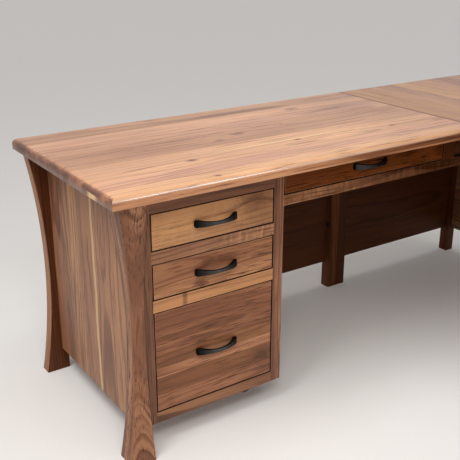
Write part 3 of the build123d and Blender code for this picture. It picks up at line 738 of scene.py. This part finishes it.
mainLo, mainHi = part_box("main_top")
returnLo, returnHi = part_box("return_top")
faceZ, underZ = mainHi[2], mainLo[2]
topLook = {
    "round": 0.016, "under": 0.0025, "seam": 0.0012,
    # from the front edge to the back: width, tone, hue
    "mainBoards": [(0.050, 0.80, 0.48), (0.070, 0.75, 0.06), (0.130, 0.80, 0.35), (0.140, 0.66, 0.28),
                   (0.098, 0.70, 0.12), (0.057, 0.78, 0.25), (0.105, 0.64, 0.38)],
    # from the seam outward
    "returnBoards": [(0.140, 0.52, 0.48), (0.048, 0.58, 0.45), (0.070, 0.50, 0.20), (0.090, 0.54, 0.45),
                     (0.112, 0.52, 0.35), (0.100, 0.45, 0.05), (0.126, 0.53, 0.45)],
    # knots on the main top: x, y, size, strength
    "knots": [(-0.055, 0.622, 0.022, 0.6), (-0.390, 0.447, 0.017, 0.6), (-0.475, 0.407, 0.012, 0.6),
              (-0.645, 0.279, 0.013, 1.0), (-0.285, 0.297, 0.010, 1.0), (0.065, 0.272, 0.011, 1.0),
              (-0.662, 0.130, 0.010, 1.0)],
    # painted shade of the main top: darker over its back left part and its right part, so the front left is
    # brightest
    "shades": [(0.10, band(0.60, 0.40, -1.3, -0.35, Fade=0.5)),
               (0.15, band(0.40, 0.5, -0.15, 0.8, Fade=0.35))],
    # shades of the front edge: strength, start along x, fade, top level; the first three are partly darker
    # wood and partly painted shade, darker towards the right
    # the last is a pale lower lip: a painted highlight
    "edgeShades": [(0.10, -1.4, 0.2, faceZ - 0.010), (0.18, -0.52, 0.3, faceZ - 0.008),
                   (0.18, -0.32, 0.2, faceZ - 0.010), (-0.28, -0.70, 0.4, underZ + 0.008)],
    "edgeReach": 0.06, "edgeEnd": 1.4,
    "saps": [band(0.308, 0.006, -0.62, -0.05, Fade=0.2),
             band(0.500, 0.030, 0.16, 0.40, Fade=0.2, Wander=0.03),
             band(0.222, 0.040, -0.99, -0.92, Fade=0.02, Level=underZ + 0.016)],
    "mainColors": {"Dark": (0.045, 0.014, 0.005, 1), "Mid": (0.255, 0.108, 0.051, 1),
                   "Light": (0.74, 0.425, 0.24, 1)},
    "main": {"seed": 0.11, "gloss": (-0.35, 0.20, 0.1), "fibre": 165.0, "depth": 1.15, "contrast": 0.75,
             "tinted": "low", "tint": (1.0, 0.87, 0.80, 1), "paintedSheenBelow": underZ + 0.012},
    "return": {"seed": 0.43, "gloss": (-0.8, -0.6, 0.3), "fibre": 150.0, "depth": 0.9, "contrast": 0.65},
}
topWood = {"middle": faceZ, "shine": 0.5, "run": 3.0,
           "seamAt": ((mainHi[0] + returnLo[0]) / 2, mainLo[1] + topLook["round"])}
edgeShades = [
    (strength, band(mainLo[1], topLook["edgeReach"], begin, topLook["edgeEnd"], Fade=length, Level=level))
    for strength, begin, length, level in topLook["edgeShades"]]
mainWood = walnut(
    "walnutMainTop", "xyz", topLook["mainBoards"], mainLo[1], colors=topLook["mainColors"],
    shades=topLook["shades"] + edgeShades, saps=topLook["saps"],
    knots=[spot(x, y, faceZ, size, strength) for x, y, size, strength in topLook["knots"]],
    **topWood, **topLook["main"])
returnWood = walnut(
    "walnutReturnTop", "yxz", topLook["returnBoards"], returnLo[0], **topWood, **topLook["return"])

r, b, c = topLook["round"], topLook["under"], topLook["seam"]
points, faces = easedSlab(mainLo, mainHi, (r, c, r, r), (b, 0.0, b, 0.0))
meshPiece("mainTop", points, faces, mainWood, "desk", ["main_top"])
points, faces = easedSlab(returnLo, returnHi, (r, r, r, r), (0.0, 0.0, 0.0, 0.0), step=(mainLo[1], c))
meshPiece("returnTop", points, faces, returnWood, "desk", ["return_top"])
print("tops made")


legLook = {
    "heights": (0.0, 0.355, 0.730), "setbacks": (0.031, 0.066, 0.027), "corner": 0.002, "levels": 61,
    # the photo shows the back left leg deeper than its CAD leg: grown at low x, low y and high y
    "grow": {"leg_back_left": (0.004, 0.008, 0.007)},
    "wood": {"ring": 0.009, "depth": 1.0, "fibre": 300.0, "run": 9.0, "shine": 0.2},
    "oneBoard": {"contrast": 1.7},
    "shadedFace": {"contrast": 0.6,
                 "colors": {"Dark": (0.050, 0.011, 0.0015, 1), "Mid": (0.20, 0.065, 0.020, 1)}},
    "seedStep": 0.21,
    # node: name, flared along x, flared along y, boards, axes; the back left leg has a thin dark front face
    # that dark face is partly darker wood and partly painted shade, in its corner by the end panel under the
    # top
    "legs": {
        "leg_front_left": ("legFrontLeft", True, True, [(0.40, 0.275, 0.20)], "zxy"),
        "leg_back_left": ("legBackLeft", True, False, [(0.002, 0.10, 0.5), (0.20, 0.55, 0.3)], "zyx"),
        "return_leg_inner": ("returnLegInner", True, True, [(0.40, 0.40, 0.5)], "zyx"),
        "return_leg_outer": ("returnLegOuter", False, True, [(0.40, 0.36, 0.4)], "zyx"),
    },
}
z = np.linspace(0.0, legLook["heights"][2], legLook["levels"])
setback = hollowArc(z, legLook["heights"], legLook["setbacks"])
legLine = setback - legLook["setbacks"][2]  # from the outermost point of the leg, at its head
for node, (name, flareX, flareY, boards, axes) in legLook["legs"].items():
    lo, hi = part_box(node)
    growX, growFront, growBack = legLook["grow"].get(node, (0.0, 0.0, 0.0))
    lo, hi = (lo[0] - growX, lo[1] - growFront, lo[2]), (hi[0], hi[1] + growBack, hi[2])
    points, faces = upright(
        z, lo[0] + legLine * flareX, hi[0], lo[1] + legLine * flareY, hi[1], legLook["corner"])
    across, through = axisOf[axes[1]], axisOf[axes[2]]
    wood = walnut("walnut_" + name, axes, boards, boardStart(boards, lo[across], hi[across]),
                  seed=legLook["seedStep"] * len(name), middle=lo[through], **legLook["wood"],
                  **legLook["oneBoard" if len(boards) == 1 else "shadedFace"])
    meshPiece(name, points, faces, wood, "desk", [node])

# wood of the parts that stand in shade in the kneehole and under the return: painted shade on all sides but
# the one facing up the through axis
shadedWood = {"recessShade": (0.43, 0.31, 0.20, 1), "shine": 0.1, "contrast": 0.65}
postLook = {
    "corner": 0.002, "width": 0.40, "hue": 0.45, "seedStep": 0.17,
    # node: name, tone
    "posts": {"post_main": ("postMain", 0.50), "post_return": ("postReturn", 0.32),
              "post_corner": ("postCorner", 0.34)},
}
for node, (name, tone) in postLook["posts"].items():
    lo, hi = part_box(node)
    points, faces = upright(np.array([lo[2], hi[2]]), lo[0], hi[0], lo[1], hi[1], postLook["corner"])
    boards = [(postLook["width"], tone, postLook["hue"])]
    wood = walnut("walnut_" + name, "zxy", boards, boardStart(boards, lo[0], hi[0]),
                  seed=postLook["seedStep"] * len(name), middle=lo[1], **shadedWood)
    meshPiece(name, points, faces, wood, "desk", [node])
print("legs and posts made")


panelWood = {"contrast": 1.15, "ring": 0.010, "depth": 0.6, "run": 5.0}
panelSeedStep = 0.137
stileWood = {"fibre": 300.0, "run": 9.0, "depth": 1.0, "contrast": 1.6}
# node: axes, boards, more
panelLook = {
    # end_panel_left: its last, narrow board by the back leg is darker, painted shade in the corner
    "end_panel_left": (
        "zyx", [(0.093, 0.53, 0.35), (0.128, 0.48, 0.22), (0.095, 0.45, 0.20), (0.060, 0.57, 0.45),
                (0.065, 0.42, 0.25), (0.068, 0.48, 0.15), (0.020, 0.32, 0.4)],
        {"knots": [spot(0.42, 0.49, -0.84, 0.014)], "saps": [band(0.425, 0.010, -0.2, 0.9, Wander=0.02)],
         "colors": {"Sapwood": (0.68, 0.45, 0.23, 1)},
         "shades": [(0.30, band(0.462, 0.005, 0.36, 0.56, Fade=0.06, Wander=0.06))],
         "contrast": 0.95, "fibre": 300.0, "run": 8.0, "depth": 0.9}),
    "return_end_panel": (
        "zxy", [(0.090, 0.46, 0.4), (0.085, 0.40, 0.3), (0.095, 0.50, 0.4), (0.080, 0.42, 0.3),
                (0.090, 0.48, 0.4), (0.125, 0.41, 0.3)], {}),
    "modesty_panel": (
        "xzy", [(0.140, 0.36, 0.35), (0.160, 0.33, 0.3), (0.170, 0.38, 0.35), (0.155, 0.33, 0.35)], shadedWood),
    "return_back_panel": (
        "xzy", [(0.028, 0.31, 0.5), (0.185, 0.36, 0.55), (0.210, 0.33, 0.5), (0.202, 0.29, 0.5)], shadedWood),
    "return_side_panel": (
        "yzx", [(0.150, 0.36, 0.4), (0.160, 0.40, 0.35), (0.150, 0.35, 0.4), (0.165, 0.38, 0.3)], {}),
    "pedestal_back": (
        "zxy", [(0.110, 0.40, 0.4), (0.120, 0.44, 0.4), (0.100, 0.38, 0.3), (0.115, 0.42, 0.4)], {}),
    "pedestal_inner_side": (
        "zyx", [(0.130, 0.40, 0.4), (0.120, 0.36, 0.3), (0.140, 0.42, 0.4), (0.128, 0.38, 0.3)], {}),
    "pedestal_bottom": (
        "xyz", [(0.130, 0.42, 0.4), (0.130, 0.39, 0.3), (0.130, 0.44, 0.4), (0.130, 0.40, 0.4)], {}),
    # return_apron: its darker colours are partly painted shade under the return's top
    "return_apron": (
        "yzx", [(0.40, 0.30, 0.35)], {"colors": {"Dark": (0.030, 0.009, 0.002, 1)}, "shine": 0.15}),
    "drawer_hanger": ("yzx", [(0.40, 0.38, 0.35)], {}),
    "pedestal_feet": ("zxy", [(0.40, 0.36, 0.35)], {}),
    "slide_blocks": ("yzx", [(0.60, 0.42, 0.4)], {}),
    # tinted: the narrow sides on that side take painted shade, dark in the gaps by the drawers
    "rail_top": ("xzy", [(0.40, 0.25, 0.3)], {"tinted": "low"}),
    "rail_upper": (
        "xzy", [(0.40, 0.52, 0.28)],
        {"contrast": 0.8, "fibre": 300.0, "run": 12.0, "depth": 0.9, "curl": (0.08, 0.7, -0.66, -0.52),
         "tinted": "all"}),
    "rail_lower": (
        "xzy", [(0.40, 0.76, 0.50)],
        {"contrast": 0.55, "tinted": "all", "colors": {"Light": (0.78, 0.385, 0.175, 1)},
         "shades": [(0.26, band(0.425, 0.05, -0.736, -0.716, Fade=0.007))]}),  # one dark mark
    "rail_bottom": ("xzy", [(0.40, 0.40, 0.35)], {"tinted": "high"}),
    "stile_left": ("zxy", [(0.40, 0.065, 0.25)], dict(stileWood, tinted="high")),
    "stile_right": ("zxy", [(0.40, 0.235, 0.10)], dict(stileWood, tinted="low")),
    # kneehole_rail: the band darkening its right part is painted shade where the return keeps light off; its
    # deep red Dark colour is partly painted shade
    "kneehole_rail": (
        "xzy", [(0.40, 0.42, 0.35)],
        {"curl": 0.5, "shine": 0.1, "tinted": "high", "colors": {"Dark": (0.052, 0.016, 0.004, 1)},
         "shades": [(0.34, band(0.631, 0.2, -0.30, 0.9, Fade=0.40))]}),
    "kneehole_top_rail": ("xzy", [(0.40, 0.38, 0.45)], shadedWood),
    "kneehole_stile": ("zxy", [(0.40, 0.36, 0.4)], shadedWood),
}
for i, (node, (axes, boards, more)) in enumerate(panelLook.items()):
    lo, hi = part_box(node)
    across, through = axisOf[axes[1]], axisOf[axes[2]]
    wood = walnut("walnut_" + node, axes, boards, boardStart(boards, lo[across], hi[across]),
                  seed=panelSeedStep * i, middle=lo[through], **dict(panelWood, **more))
    dress(node, wood)
print("panels and frame dressed")


redWood = {"Dark": (0.046, 0.018, 0.009, 1), "Mid": (0.265, 0.106, 0.048, 1), "Light": (0.74, 0.39, 0.185, 1)}
# the fronts' narrow sides take painted shade for the dark gaps, which stays on them when a drawer opens;
# their eased edges take a painted highlight
frontWood = {"tinted": "all", "tint": (0.13, 0.10, 0.09, 1), "highlightEdges": 0.25, "ring": 0.008, "fibre": 300.0,
             "run": 12.0, "depth": 1.1}
frontEase, frontSeedStep = 0.002, 0.29
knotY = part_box("drawer_top_front")[0][1] - 0.020  # the knots' centres stand before the fronts' outer face
# drawer: boards from its lower edge, more
frontLook = {
    "drawer_top": (
        [(0.40, 0.78, 0.50)],
        {"curl": 0.10, "contrast": 0.65, "colors": {"Light": (0.74, 0.395, 0.185, 1)},
         "shades": [(0.20, band(0.66, 0.2, -0.60, -0.20, Fade=0.12))],
         "knots": [spot(-0.548, 0.650, knotY, 0.012, 0.4), spot(-0.510, 0.650, knotY, 0.045, 0.3),
                   spot(-0.560, 0.590, knotY, 0.020, 0.25)]}),
    "drawer_middle": (
        [(0.40, 0.455, 0.33)],
        {"colors": redWood,
         "knots": [spot(-0.678, 0.455, knotY, 0.018), spot(-0.640, 0.505, knotY, 0.030, 0.25)]}),
    "drawer_file": (
        [(0.048, 0.44, 0.25), (0.053, 0.32, 0.55), (0.028, 0.54, 0.15), (0.043, 0.40, 0.62),
         (0.122, 0.345, 0.26)],
        {"colors": redWood, "knots": [spot(-0.47, 0.180, knotY, 0.035, 0.45)]}),
    # drawer_kneehole: its dark red colours are partly its own wood and partly painted shade under the
    # overhang
    "drawer_kneehole": (
        [(0.40, 0.19, 0.6)],
        {"colors": {"Dark": (0.024, 0.006, 0.0015, 1), "Mid": (0.20, 0.055, 0.011, 1)},
         "shine": 0.1, "contrast": 1.2}),
}
pullLook = {
    "footLength": 0.012, "footRise": 0.008, "footRound": 0.005, "thickness": 0.007, "footHeight": 0.0215,
    "waistHeight": 0.0105, "corner": 0.0032, "cornerMost": 0.96, "cornerPoints": 7, "stations": 97,
    "sharpAngle": 50.0, "highlightAt": (-0.008, -0.006, -0.004, -0.050),  # from the middle of each pull
}
boxLook = {
    "boards": [(2.0, 0.5, 0.5)], "start": -1.0,
    "axes": {"_box_sides": "yzx", "_box_ends": "xzy", "_box_bottom": "xyz"},
    "wood": {"contrast": 0.45, "ring": 0.004, "seed": 0.3, "middle": 0.3},
    "colors": {"Dark": (0.42, 0.28, 0.15, 1), "Mid": (0.58, 0.42, 0.25, 1), "Light": (0.72, 0.57, 0.38, 1),
               "Sapwood": (0.75, 0.62, 0.42, 1)},
}
steel = zincSteel("zincSteel", (0.66, 0.66, 0.64))
boltSteel = zincSteel("boltSteel", (0.10, 0.09, 0.08))
maple = {part: walnut("maple" + part, axes, boxLook["boards"], boxLook["start"], colors=boxLook["colors"],
                      **boxLook["wood"]) for part, axes in boxLook["axes"].items()}
for i, (drawer, (boards, more)) in enumerate(frontLook.items()):
    lo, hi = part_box(drawer + "_front")
    wood = walnut("walnut_" + drawer, "xzy", boards, boardStart(boards, lo[2], hi[2]),
                  seed=frontSeedStep * (i + 1), middle=lo[1], **dict(frontWood, **more))
    flipLo, flipHi = (lo[0], -hi[1], lo[2]), (hi[0], -lo[1], hi[2])  # the eased face is the low y one
    points, faces = easedSlab(flipLo, flipHi, (frontEase,) * 4, (0.0,) * 4, steps=5, order=(0, 2, 1))
    points[..., 1] *= -1
    meshPiece(drawer + "_face", points, faces, wood, drawer, [drawer + "_front"])
    pullLo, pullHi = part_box(drawer + "_pull")
    points, faces = bowPull(pullLo, pullHi, pullLook)
    paint = blackPaint("black_" + drawer, (pullLo[0] + pullHi[0]) / 2 + pullLook["highlightAt"][i])
    meshPiece(drawer + "_bow", points, faces, paint, drawer, [drawer + "_pull"],
              pullLook["sharpAngle"])
    for part, wood in maple.items():
        dress(drawer + part, wood)
    for part in ("_slide_middle", "_slide_runner"):
        dress(drawer + part, steel)
dress("slide_cabinet_members", steel)
dress("post_bolts", boltSteel)
print("drawers made")


stageLook = {
    "floor": (0.84, 0.815, 0.79), "floorReach": 40.0, "floorGlow": 0.06, "floorRough": 0.9, "floorShine": 0.1,
    "sky": (1.0, 0.985, 0.965), "skyLight": 0.23, "backdrop": (0.86, 0.85, 0.835),
    "sunLight": 1.0, "sunAngle": 60.0, "sunTilt": (15.0, 0.0, -38.0),
    # area lamps: place, aim, size, light
    "lamps": {
        "sideLight": ((-2.0, -0.2, 2.4), (-0.3, 0.3, 0.7), (0.9, 0.9), 22.0),
        "frontLight": ((-1.5, -1.5, 2.3), (-0.3, 0.2, 0.6), (0.9, 0.6), 19.0),
        "topLight": ((0.40, 0.30, 2.30), (0.40, 0.30, 0.0), (1.4, 0.45), 6.0),
        "lowLight": ((0.45, -1.85, 1.45), (-0.70, 0.11, 0.75), (0.8, 0.3), 3.4),
    },
}


def seenRays(tree):  # rays that show the background: to the camera, and off metal and glass
    rays = put(tree, "LightPath").outputs
    return calc(tree, "MAXIMUM", rays["Is Camera Ray"],
                calc(tree, "MAXIMUM", rays["Is Glossy Ray"], rays["Is Transmission Ray"]))


reach = stageLook["floorReach"]
floorMesh = bpy.data.meshes.new("floor")
floorMesh.from_pydata([(-reach, -reach, 0), (reach, -reach, 0), (reach, reach, 0), (-reach, reach, 0)], [],
                      [(0, 1, 2, 3)])
floor = bpy.data.objects.new("floor", floorMesh)
bpy.context.scene.collection.objects.link(floor)
floorMaterial, tree, inputs = newMaterial("paleFloor")
inputs["Base Color"].default_value = stageLook["floor"] + (1,)
inputs["Roughness"].default_value = stageLook["floorRough"]
inputs["Specular IOR Level"].default_value = stageLook["floorShine"]
inputs["Emission Color"].default_value = stageLook["sky"] + (1,)
feed(tree, inputs["Emission Strength"], times(tree, seenRays(tree), stageLook["floorGlow"]))
floorMesh.materials.append(floorMaterial)

world = bpy.data.worlds.new("studio")
bpy.context.scene.world = world
world.use_nodes = True
tree = world.node_tree
tree.nodes.clear()
lit = put(tree, "Background", {"Color": stageLook["sky"] + (1,), "Strength": stageLook["skyLight"]})
shown = put(tree, "Background", {"Color": stageLook["backdrop"] + (1,), "Strength": 1.0})
both = put(tree, "MixShader", {0: seenRays(tree), 1: lit.outputs[0], 2: shown.outputs[0]})
feed(tree, put(tree, "OutputWorld").inputs[0], both.outputs[0])

sun = bpy.data.objects.new("softLight", bpy.data.lights.new("softLight", "SUN"))
sun.data.energy = stageLook["sunLight"]
sun.data.angle = radians(stageLook["sunAngle"])
sun.rotation_euler = [radians(a) for a in stageLook["sunTilt"]]
bpy.context.scene.collection.objects.link(sun)
for name, (place, aim, size, light) in stageLook["lamps"].items():
    lamp = bpy.data.objects.new(name, bpy.data.lights.new(name, "AREA"))
    lamp.data.energy = light
    lamp.data.shape = "RECTANGLE"
    lamp.data.size, lamp.data.size_y = size
    lamp.location = place
    lamp.rotation_euler = (Vector(aim) - Vector(place)).to_track_quat("-Z", "Y").to_euler()
    lamp.visible_camera = False
    bpy.context.scene.collection.objects.link(lamp)

cameraLook = {"place": (-1.6586, -1.4075, 1.3265), "turn": (68.902, 0.0, -33.876), "lens": 61.5,
              "sensor": 36.0}
camera = bpy.data.objects.new("camera", bpy.data.cameras.new("camera"))
camera.data.sensor_width = cameraLook["sensor"]
camera.data.lens = cameraLook["lens"]
camera.location = cameraLook["place"]
camera.rotation_euler = [radians(a) for a in cameraLook["turn"]]
bpy.context.scene.collection.objects.link(camera)
bpy.context.scene.camera = camera
bpy.context.scene.view_settings.view_transform = "Standard"
print("stage set")
